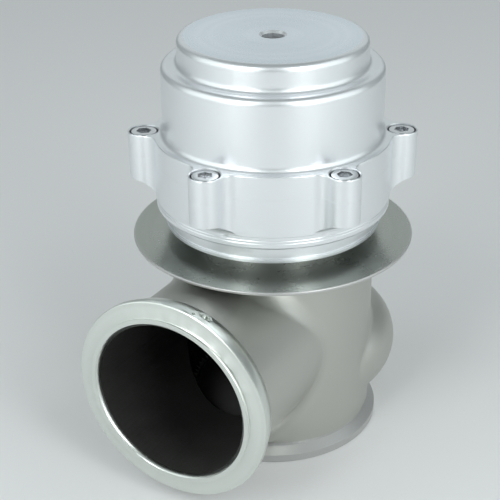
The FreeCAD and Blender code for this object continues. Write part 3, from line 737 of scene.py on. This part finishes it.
@dataclass
class Cap:
    """Upper half of the housing: lobed flange, wall, shoulder and plateau with the top port."""

    lobes: LobeRing
    flange: float = 8.75
    edge: float = 0.5
    wall: float = 41.0
    ledge_blend: float = 2.2
    shoulder_drop: float = 9.9
    plateau: float = 34.9
    round_over: float = 2.5
    bore: float = 36.6
    inner_plateau: float = 30.5
    plateau_wall: float = 4.4
    top_wall: float = 4.5
    port: float = 4.2
    port_chamfer: float = 0.9
    boss: float = 9.0
    boss_depth: float = 6.5
    head_seat: float = 5.4
    screw_hole: float = 3.3
    head_depth: float = 6.2
    seat_bevel: float = 0.45
    seat_bevel_depth: float = 0.35
    inner_round: float = 0.6
    overshoot: float = 3.0
    edge_steps: int = 4
    level_normal: float = 0.99
    top_slack: float = 1e-5

    def build(self) -> bpy.types.Object:
        """Skin the cap from its outline rings and sink the lobes' screw seats.

        Returns:
            The cap, not yet dressed.
        """
        split, top = low_mm("cap").z, high_mm("cap").z
        ledge = split + self.flange
        shoulder = top - self.shoulder_drop
        ceiling = top - self.top_wall
        turns = self.lobes.turns()
        full = self.lobes.outline()
        rings = [lifted(full, split), lifted(full, ledge - self.edge)]
        for step in range(1, self.edge_steps + 1):
            turn = math.pi / 2 * step / self.edge_steps
            depth = self.edge * (1 - math.cos(turn))
            rings.append(lifted(self.lobes.inset(depth),
                                ledge - self.edge + self.edge * math.sin(turn)))
        profile = rounded([
            Corner(self.wall + 2 * self.ledge_blend, ledge),
            Corner(self.wall, ledge, self.ledge_blend),
            Corner(self.wall, shoulder, self.round_over),
            Corner(self.plateau, shoulder, self.ledge_blend),
            Corner(self.plateau, top, self.round_over),
            Corner(self.port + self.port_chamfer, top), Corner(self.port, top - self.port_chamfer),
            Corner(self.port, ceiling - self.boss_depth),
            Corner(self.boss, ceiling - self.boss_depth, self.inner_round),
            Corner(self.boss, ceiling), Corner(self.inner_plateau, ceiling),
            Corner(self.inner_plateau, shoulder - self.plateau_wall),
            Corner(self.bore, shoulder - self.plateau_wall, self.inner_round),
            Corner(self.bore, split),
        ], steps=9, closed=False)[1:]
        rings.extend(ring(radius, level, turns) for radius, level in profile)
        piece = skinned("cap_shell", rings)
        seat = ledge - self.head_depth
        mouth = self.head_seat + self.seat_bevel
        slope_top = ledge + self.seat_bevel - self.seat_bevel_depth
        stages = [(self.screw_hole, split - 1), (self.screw_hole, seat), (self.head_seat, seat),
                  (self.head_seat, ledge - self.seat_bevel_depth), (mouth, slope_top),
                  (mouth, ledge + self.overshoot)]
        cut(piece, [peg(stages, centre, UP) for centre in self.lobes.centres()])
        return piece

    def dress(self, piece: bpy.types.Object) -> None:
        """Polish the cap, with a finer faced finish on its flat top.

        Args:
            piece: The cap.
        """
        fitted(piece, "polished_aluminium", "cap", POLISHED, FACED)
        top = high_mm("cap").z * MM
        for face in piece.data.polygons:
            if face.normal.z > self.level_normal and face.center.z > top - self.top_slack:
                face.material_index = 1


@dataclass
class LowerHousing:
    """Lower half of the housing: lobes cut away below by a quarter round, and the side port."""

    lobes: LobeRing
    lobe_drop: float = 9.2
    undercut: float = 8.0
    band_step: float = 0.3
    band_height: float = 4.9
    bevel: float = 0.8
    floor: float = 6.5
    chamber: float = 37.0
    rim_pocket: float = 41.05
    rim_depth: float = 1.2
    boss: float = 11.0
    boss_height: float = 3.0
    bush_hole: float = 7.05
    port: float = 4.3
    port_face: float = 6.0
    port_drop: float = 6.3
    thread: float = 3.05
    split_chamfer: float = 0.06
    cut_steps: int = 20
    fade_steps: int = 9
    least_reach: float = 0.004
    grooves: tuple[float, ...] = (2.4, 3.5)
    groove_half: float = 0.2
    groove_depth: float = 0.16
    port_reach: float = 12.0
    port_recess: float = 0.6
    overshoot: float = 4.0

    def build(self) -> bpy.types.Object:
        """Skin the housing from the wall up to the lobes and cut its holes.

        Returns:
            The housing, not yet dressed.
        """
        foot, split = low_mm("lower_housing").z, low_mm("cap").z
        lobe_low = split - self.lobe_drop
        cut_low = lobe_low - self.undercut
        turns = self.lobes.turns()
        band = self.lobes.wall - self.band_step
        rings = [ring(self.bush_hole, foot, turns), ring(band - self.bevel, foot, turns),
                 ring(band, foot + self.bevel, turns)]
        for groove in self.grooves:
            for across, up in ((0, -self.groove_half), (-self.groove_depth, 0),
                               (0, self.groove_half)):
                rings.append(ring(band + across, foot + groove + up, turns))
        band_top = foot + self.band_height
        rings.append(ring(band, band_top, turns))
        centre = self.lobes.wall + self.undercut
        first = math.asin((band_top + self.band_step - cut_low) / self.undercut)
        for step in range(self.cut_steps + 1):
            turn = first + (math.pi / 2 - first) * step / self.cut_steps
            share = min(step / self.fade_steps, 1.0)
            fade = share * share * (3 - 2 * share)
            reach = centre - self.undercut * math.cos(turn) - self.lobes.wall
            limit = self.lobes.wall + max(reach * fade, self.least_reach)
            rings.append(lifted(self.lobes.outline(limit),
                                cut_low + self.undercut * math.sin(turn)))
        full = self.lobes.outline()
        floor = foot + self.floor
        rings.extend([lifted(full, lobe_low), lifted(full, split - self.split_chamfer),
                      lifted(self.lobes.inset(self.split_chamfer), split)])
        rings.extend(ring(radius, level, turns) for radius, level in (
            (self.rim_pocket, split), (self.rim_pocket, split - self.rim_depth),
            (self.chamber, split - self.rim_depth), (self.chamber, floor), (self.boss, floor),
            (self.boss, floor + self.boss_height), (self.bush_hole, floor + self.boss_height)))
        piece = skinned("lower_shell", rings)
        cutters = [peg([(self.thread, cut_low - 1), (self.thread, split + 1)], spot, UP, 32)
                   for spot in self.lobes.centres()]
        side = Vector((-self.lobes.wall, 0, split - self.port_drop))
        cutters.append(peg([
            (self.port, -self.port_reach), (self.port, -self.port_recess),
            (self.port_face, -self.port_recess), (self.port_face, self.overshoot)],
            side, Vector((-1, 0, 0)), 64))
        cut(piece, cutters)
        return piece

    def dress(self, piece: bpy.types.Object) -> None:
        """Polish the housing all over."""
        fitted(piece, "polished_aluminium", "lower_housing", POLISHED)


@dataclass
class BaseCollar:
    """Grooved collar under the housing."""

    edge: float = 0.5
    groove_up: float = 1.5
    groove_width: float = 1.3
    groove_depth: float = 0.8
    bore: float = 4.66
    pocket: float = 7.39
    pocket_depth: float = 3.0
    lip_round: float = 0.15
    groove_round: float = 0.2

    def build(self) -> bpy.types.Object:
        """Turn the collar from its outline.

        Returns:
            The collar, not yet dressed.
        """
        low, high = low_mm("base_collar"), high_mm("base_collar")
        radius, groove = high.x, low.z + self.groove_up
        inner = radius - self.groove_depth
        return turned("collar_ring", rounded([
            Corner(self.bore, low.z), Corner(radius, low.z, self.edge),
            Corner(radius, groove, self.lip_round), Corner(inner, groove, self.groove_round),
            Corner(inner, groove + self.groove_width, self.groove_round),
            Corner(radius, groove + self.groove_width, self.lip_round),
            Corner(radius, high.z, self.groove_round),
            Corner(self.pocket, high.z), Corner(self.pocket, high.z - self.pocket_depth),
            Corner(self.bore, high.z - self.pocket_depth)], steps=4), count=240)

    def dress(self, piece: bpy.types.Object) -> None:
        """Polish the collar."""
        fitted(piece, "polished_aluminium", "base_collar", POLISHED)


@dataclass
class CapScrews:
    """Six socket screws, with knurled heads and threaded shanks, set into the lobes."""

    lobes: LobeRing
    shank: float = 2.95
    pitch: float = 1.0
    thread_depth: float = 0.45
    head: float = 5.0
    head_height: float = 6.0
    socket: float = 5.0
    socket_depth: float = 3.0
    knurl: float = 0.12
    knurls: int = 36
    knurl_points: int = 4
    first_turn: float = 0.2
    turn_step: float = 0.35
    tip: float = 0.01
    plain: float = 1.5
    neck: float = 0.6
    bevel: float = 0.3
    knurl_top: float = 0.9
    crown: tuple[Point, ...] = ((0.12, 0.7), (0.35, 0.15), (0.7, 0.0))
    socket_cone: float = 0.8

    def hexagon(self, turns: list[float], level: float) -> list[Vector]:
        """The socket's outline at a level.

        Args:
            turns: Polar angles of its points.
            level: Its height, in millimetres.

        Returns:
            One point for each angle.
        """
        points = []
        for turn in turns:
            off = (turn + math.pi / 6) % (math.pi / 3) - math.pi / 6
            radius = self.socket / 2 / math.cos(off)
            points.append(Vector((radius * math.cos(turn), radius * math.sin(turn), level)))
        return points

    def one(self, foot: float, seat: float) -> Rings:
        """Draw one screw that stands on the valve axis.

        Args:
            foot: Level of its tip, in millimetres.
            seat: Level of its head's underside.

        Returns:
            Its rings from the foot up.
        """
        turns = even_turns(self.knurls * self.knurl_points)
        rings = [ring(self.tip, foot, turns), ring(self.shank - self.thread_depth, foot, turns)]
        crests = int((seat - foot - self.plain) / self.pitch)
        for crest in range(crests):
            level = foot + self.pitch * (crest + 0.5)
            rings.append(ring(self.shank, level, turns))
            rings.append(ring(self.shank - self.thread_depth, level + self.pitch / 2, turns))
        top = seat + self.head_height
        rings.extend([ring(self.shank, seat - self.neck, turns), ring(self.shank, seat, turns),
                      ring(self.head - self.bevel, seat, turns)])
        ridged = [self.head - self.knurl * (0.5 - 0.5 * math.cos(self.knurls * turn))
                  for turn in turns]
        for level in (seat + self.bevel, top - self.knurl_top):
            rings.append([Vector((r * math.cos(a), r * math.sin(a), level))
                          for r, a in zip(ridged, turns)])
        rings.extend(ring(self.head - inwards, top - down, turns) for inwards, down in self.crown)
        floor = top - self.socket_depth
        rings.extend([self.hexagon(turns, top), self.hexagon(turns, floor),
                      ring(self.tip, floor - self.socket_cone, turns)])
        return rings

    def build(self) -> bpy.types.Object:
        """Make the six screws and join them.

        Returns:
            The screws, not yet dressed.
        """
        foot, top = low_mm("cap_screws").z, high_mm("cap_screws").z
        pieces = []
        for index, centre in enumerate(self.lobes.centres()):
            screw = skinned("screw", self.one(foot, top - self.head_height), False)
            turn = Matrix.Rotation(self.turn_step * index + self.first_turn, 4, "Z")
            screw.data.transform(Matrix.Translation(centre * MM) @ turn)
            pieces.append(screw)
        return joined("lobe_screws", pieces)

    def dress(self, piece: bpy.types.Object) -> None:
        """Give the screws their bright plating."""
        fitted(piece, "screw_steel", "cap_screws", SCREW, crease=35)


# ---------------------------------------------------------------- pieces below and inside


@dataclass
class HeatShield:
    """The flat disc between the cast body and the actuator, with a rolled bright edge."""

    hole: float = 8.0
    edge: float = 0.45
    bright_edge: float = 0.5

    def build(self) -> bpy.types.Object:
        """Turn the disc from its outline.

        Returns:
            The disc, not yet dressed.
        """
        low, high = low_mm("heat_shield"), high_mm("heat_shield")
        return turned("shield_disc", rounded([
            Corner(self.hole, low.z), Corner(high.x, low.z, self.edge),
            Corner(high.x, high.z, self.edge), Corner(self.hole, high.z)], steps=4), count=300)

    def dress(self, piece: bpy.types.Object) -> None:
        """Finish the disc as rolled stainless with a turned edge.

        Args:
            piece: The disc.
        """
        fitted(piece, "heat_shield_steel", "heat_shield", SHIELD, MACHINED)
        rim = (high_mm("heat_shield").x - self.bright_edge) * MM
        for face in piece.data.polygons:
            if math.hypot(face.center.x, face.center.y) > rim:
                face.material_index = 1


@dataclass(frozen=True)
class RimHole:
    """A hole sunk into the outlet's rim: degrees from the top, and sizes in millimetres."""

    turn: float
    back: float
    radius: float
    depth: float


class BodySlot(IntEnum):
    """The cast body's material slots, in order."""

    CAST = 0
    PAINTED_SHADE_BORE = 1
    MACHINED = 2
    OUTLET = 3


@dataclass
class CastBody:
    """The cast valve body: a smoothed copy of its solid with machined flanges and a bore painted
    near-black as painted shade.
    """

    bore: float = 30.0
    outlet_machined: float = 9.45
    inlet_machined: float = 7.2
    rim: float = 39.0
    rim_holes: tuple[RimHole, ...] = (RimHole(20.5, 5.9, 1.7, 4.5), RimHole(15.0, 3.4, 0.6, 1.4))
    overshoot: float = 2.0
    mouth_bevel: float = 1.3
    bevel_overlap: float = 0.3
    bevel_start: float = 0.1
    inlet_front: float = -45.0
    chamber: float = 35.0
    chamber_levels: tuple[float, float] = (8.0, 71.0)
    lip_levels: tuple[float, float] = (8.5, 12.6)
    lip_radii: tuple[float, float] = (31.0, 33.0)
    slack: float = 0.2
    bulge_slack: float = 1.0
    bulge_offset: float = 16.0
    bulge_ring: float = 23.8
    bulge_round: float = 18.6
    bulge_level: float = 26.5

    def build(self) -> bpy.types.Object:
        """Copy the solid, merge its patches, and cut the outlet rim's notch, mark and bevel.

        Returns:
            The body, not yet dressed.
        """
        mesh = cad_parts["valve_body"].data.copy()
        shape = bmesh.new()
        shape.from_mesh(mesh)
        bmesh.ops.remove_doubles(shape, verts=shape.verts, dist=2 * SAME_POINT)
        bmesh.ops.recalc_face_normals(shape, faces=shape.faces)
        shape.to_mesh(mesh)
        shape.free()
        mesh.name = "cast_body"
        piece = linked("cast_body", mesh)
        face = low_mm("valve_body").y
        cutters = []
        for hole in self.rim_holes:
            turn = math.radians(hole.turn)
            outwards = Vector((math.sin(turn), 0, math.cos(turn)))
            spot = Vector((0, face + hole.back, OUTLET_LEVEL)) + outwards * self.rim
            cutters.append(peg([(hole.radius, -hole.depth), (hole.radius, self.overshoot)],
                               spot, outwards, 32))
        wide, narrow = self.bore + self.mouth_bevel, self.bore - self.bevel_overlap
        cutters.append(peg([(wide, -1), (wide, self.bevel_start),
                            (narrow, wide - narrow + self.bevel_start)],
                           Vector((0, face, OUTLET_LEVEL)), Vector((0, 1, 0)), 180))
        cut(piece, cutters)
        return piece

    def dress(self, piece: bpy.types.Object) -> None:
        """Tell machined flanges, cast skin and the bore apart by place; the bore is painted
        near-black as shade, and the outlet flange's machined stainless is painted lighter as
        painted light.

        Args:
            piece: The body.
        """
        fitted(piece, "cast_stainless", "valve_body", CAST, PAINTED_SHADE_BORE, MACHINED, MACHINED_OUTLET_PAINTED_LIGHT,
               crease=25)
        outlet = low_mm("valve_body").y + self.outlet_machined
        for face in piece.data.polygons:
            face.material_index = self.slot_at(face.center / MM, outlet)

    def slot_at(self, spot: Vector, outlet: float) -> BodySlot:
        """Choose the finish at a place.

        Args:
            spot: The place, in millimetres.
            outlet: Where the outlet's machined end stops, along Y.

        Returns:
            The material slot for it.
        """
        from_duct = math.hypot(spot.x, spot.z - OUTLET_LEVEL)
        # The outlet flange takes the lighter machined copy, which is painted light.
        if spot.y < outlet and from_duct > self.bore + self.slack / 4:
            return BodySlot.OUTLET
        on_inlet = spot.z < self.inlet_machined and spot.y > self.inlet_front
        # Walls of the gas passage get the near-black painted shade.
        return (BodySlot.MACHINED if on_inlet or self.is_lip(spot)
                else BodySlot.PAINTED_SHADE_BORE if self.is_in_painted_shade(spot) else BodySlot.CAST)

    def is_lip(self, spot: Vector) -> bool:
        """Whether a place is on the machined lip round the valve seat."""
        return (self.lip_levels[0] < spot.z < self.lip_levels[1]
                and self.lip_radii[0] < math.hypot(spot.x, spot.y) < self.lip_radii[1])

    def is_in_painted_shade(self, spot: Vector) -> bool:
        """Whether a place is on a wall of the gas passage, which is painted near-black as shade.

        Args:
            spot: The place, in millimetres.

        Returns:
            True on the duct's, the chamber's or the bulge's inner wall.
        """
        from_duct = math.hypot(spot.x, spot.z - OUTLET_LEVEL)
        in_duct = spot.y < 0 and from_duct < self.bore + self.slack
        floor, roof = self.chamber_levels
        in_chamber = (math.hypot(spot.x, spot.y) < self.chamber + self.slack
                      and floor < spot.z < roof)
        from_ring = math.hypot(spot.x, spot.y - self.bulge_offset) - self.bulge_ring
        skin = self.bulge_round - self.bulge_slack
        in_bulge = math.hypot(max(from_ring, 0), spot.z - self.bulge_level) < skin
        return in_duct or in_chamber or in_bulge


@dataclass(frozen=True)
class Coil:
    """One closed and ground compression spring."""

    name: str
    node: str
    radius: float
    wire: float
    turns: float
    flat_turns: float = 0.75
    turn_points: int = 40
    wire_points: int = 14

    def build(self) -> bpy.types.Object:
        """Sweep the wire along its helix, with ends that lie flat.

        Returns:
            The spring, not yet dressed.
        """
        low, high = low_mm(self.node).z, high_mm(self.node).z
        half = self.wire / 2
        steps = int(self.turns * self.turn_points)
        free = self.turns - 2 * self.flat_turns
        rings: Rings = []
        for step in range(steps + 1):
            done = step / steps * self.turns
            turn = 2 * math.pi * done
            rise = min(max((done - self.flat_turns) / free, 0), 1)
            level = low + half + (high - low - self.wire) * rise
            outwards = Vector((math.cos(turn), math.sin(turn), 0))
            middle = outwards * self.radius + Vector((0, 0, level))
            rings.append([middle + outwards * half * math.cos(a)
                          + Vector((0, 0, half * math.sin(a)))
                          for a in even_turns(self.wire_points)])
        return skinned(self.name, rings, False)

    def dress(self, piece: bpy.types.Object) -> None:
        """Blacken the spring, shade it, let it ride the body and give it a mesh of its own.

        Args:
            piece: The spring.
        """
        fitted(piece, "spring_steel", self.node, SPRING, crease=50)
        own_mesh(piece)


@dataclass
class Diaphragm:
    """The rolling diaphragm, clamped at its rim and carried by the piston in the middle."""

    sheet: float = 1.2
    rim: float = 41.0
    outer_leg: float = 36.6
    inner_leg: float = 31.2
    leg_gap: float = 0.05
    stem_hole: float = 4.06
    heel: float = 0.5

    def build(self) -> bpy.types.Object:
        """Turn the sheet from its outline, with close rings along the leg that rolls.

        Returns:
            The diaphragm, not yet dressed.
        """
        low, split = low_mm("diaphragm").z, low_mm("cap").z
        top = high_mm("diaphragm").z
        middle = (self.outer_leg + self.inner_leg) / 2
        outside = (self.outer_leg - self.inner_leg) / 2 - self.leg_gap
        inside = outside - self.sheet
        crest = top - outside
        over = [(middle + outside * math.cos(a), crest + outside * math.sin(a))
                for a in np.linspace(0, math.pi, 17)]
        under = [(middle + inside * math.cos(a), crest + inside * math.sin(a))
                 for a in np.linspace(math.pi, 0, 13)]
        down = [(over[-1][0], z) for z in np.linspace(crest, low + self.sheet, 14)[1:]]
        back = [(under[0][0], z) for z in np.linspace(low + self.heel, crest, 14)[:-1]]
        outline = [(self.rim, split - self.sheet), (self.rim, split), (over[0][0], split),
                   *over, *down, (self.stem_hole, low + self.sheet), (self.stem_hole, low),
                   (under[0][0] - self.heel, low), *back, *under,
                   (under[-1][0], split - self.sheet)]
        return turned("rolling_diaphragm", outline, count=144)

    def dress(self, piece: bpy.types.Object) -> None:
        """Finish as silicone, shade it smoothly and fix it in place of its CAD node.

        Args:
            piece: The diaphragm.
        """
        dress(piece, SILICONE)
        smoothed(piece, 40)
        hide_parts("diaphragm")
        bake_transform(piece)


KEPT_NODES: dict[str, Finish] = {
    "valve_seat": MACHINED, "valve": MACHINED, "valve_guide": BRONZE, "stem_bush": BRONZE,
    "stem_seal": GRAPHITE, "body_gasket": GRAPHITE, "seal_retainer": MACHINED,
    "spacer_ring": MACHINED, "collar_oring": SEAL, "base_washers": SCREW, "base_screws": SCREW,
    "stem_washer": SCREW, "stem_nut": SCREW, "diaphragm_plate": PLAIN_ALUMINIUM,
    "piston": PLAIN_ALUMINIUM, "spring_seat": PLAIN_ALUMINIUM}


# ---------------------------------------------------------------- studio


@dataclass(frozen=True)
class SoftBox:
    """A soft lamp that faces the object.

    Seen from the point that it faces, it hangs turn degrees round from the camera, positive to
    the camera's right, and rise degrees above level. Reach and size, which is width and height,
    are in metres, and power is in watts.
    """

    name: str
    turn: float
    rise: float
    reach: float
    size: tuple[float, float]
    power: float
    tint: tuple[float, float, float]


STRIP = ((0.26, 1.0), 3.7, (0.96, 1.0, 1.0))
SIDE = ((0.80, 1.0), 2.3, (0.93, 1.0, 1.0))
LAMPS = (SoftBox("left_strip", -34, 26, 0.9, *STRIP), SoftBox("left_box", -74, 26, 0.9, *SIDE),
         SoftBox("right_strip", 34, 26, 0.9, *STRIP), SoftBox("right_box", 74, 26, 0.9, *SIDE),
         SoftBox("back_box", 180, 30, 1.0, (1.4, 0.8), 1.3, (0.93, 0.99, 1.0)))


@dataclass
class Studio:
    """Pale floor, soft lamps and the camera."""

    eye: tuple[float, float, float] = (0.2119, -0.3808, 0.2953)
    tilt: float = 61.623
    swing: float = 29.1
    lens: float = 90.10
    shift: tuple[float, float] = (-0.0457, 0.0517)
    sensor: float = 36.0
    aim: float = 0.09
    floor_size: float = 12.0
    floor_tone: float = 0.78
    floor_roughness: float = 0.9
    sky: tuple[float, float, float] = (0.27, 0.295, 0.30)

    def floor(self) -> None:
        """Lay a plain pale floor."""
        bpy.ops.mesh.primitive_plane_add(size=self.floor_size)
        floor = bpy.context.object
        floor.name = "studio_floor"
        paint = bpy.data.materials.new("floor_paint")
        paint.use_nodes = True
        set_inputs(paint.node_tree.nodes["Principled BSDF"], {
            "Base Color": (*[self.floor_tone] * 3, 1), "Roughness": self.floor_roughness,
            "Specular IOR Level": 0.0})
        floor.data.materials.append(paint)

    def hang(self, lamp: SoftBox) -> None:
        """Hang a soft box.

        Args:
            lamp: The soft box.
        """
        data = bpy.data.lights.new(lamp.name, "AREA")
        data.shape = "RECTANGLE"
        data.size, data.size_y = lamp.size
        data.energy = lamp.power
        data.color = lamp.tint
        box = bpy.data.objects.new(lamp.name, data)
        bpy.context.scene.collection.objects.link(box)
        around, rise = math.radians(self.swing + lamp.turn - 90), math.radians(lamp.rise)
        target = UP * self.aim
        box.location = Vector((math.cos(around) * math.cos(rise),
                               math.sin(around) * math.cos(rise),
                               math.sin(rise))) * lamp.reach + target
        box.rotation_euler = (target - box.location).to_track_quat("-Z", "Y").to_euler()
        box.visible_camera = False

    def build(self) -> None:
        """Set the whole studio up."""
        self.floor()
        for lamp in LAMPS:
            self.hang(lamp)
        world = bpy.data.worlds.new("studio_world")
        bpy.context.scene.world = world
        world.use_nodes = True
        set_inputs(world.node_tree.nodes["Background"], {"Color": (*self.sky, 1)})
        scene = bpy.context.scene
        scene.view_settings.view_transform = "Standard"
        data = bpy.data.cameras.new("camera")
        data.sensor_width = self.sensor
        data.lens = self.lens
        data.shift_x, data.shift_y = self.shift
        camera = bpy.data.objects.new("camera", data)
        scene.collection.objects.link(camera)
        camera.location = self.eye
        camera.rotation_euler = (math.radians(self.tilt), 0, math.radians(self.swing))
        scene.camera = camera


def main() -> None:
    logging.basicConfig(level=logging.INFO, format="%(name)s: %(message)s")
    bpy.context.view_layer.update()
    Studio().build()
    lobes = LobeRing()
    makers = [Cap(lobes), LowerHousing(lobes), BaseCollar(), CapScrews(lobes), HeatShield(),
              CastBody(), Coil("spring_outer", "outer_spring", 26.0, 3.7, 5),
              Coil("spring_middle", "middle_spring", 19.5, 2.96, 6),
              Coil("spring_inner", "inner_spring", 13.6, 2.22, 8), Diaphragm()]
    for maker in makers:
        piece = maker.build()
        maker.dress(piece)
        LOG.info("%s: %d faces", piece.name, len(piece.data.polygons))
    for node, finish in KEPT_NODES.items():
        dress(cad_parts[node], finish)
        LOG.info("%s keeps its shape as %s", node, finish.name)


if __name__ == "__main__":
    main()
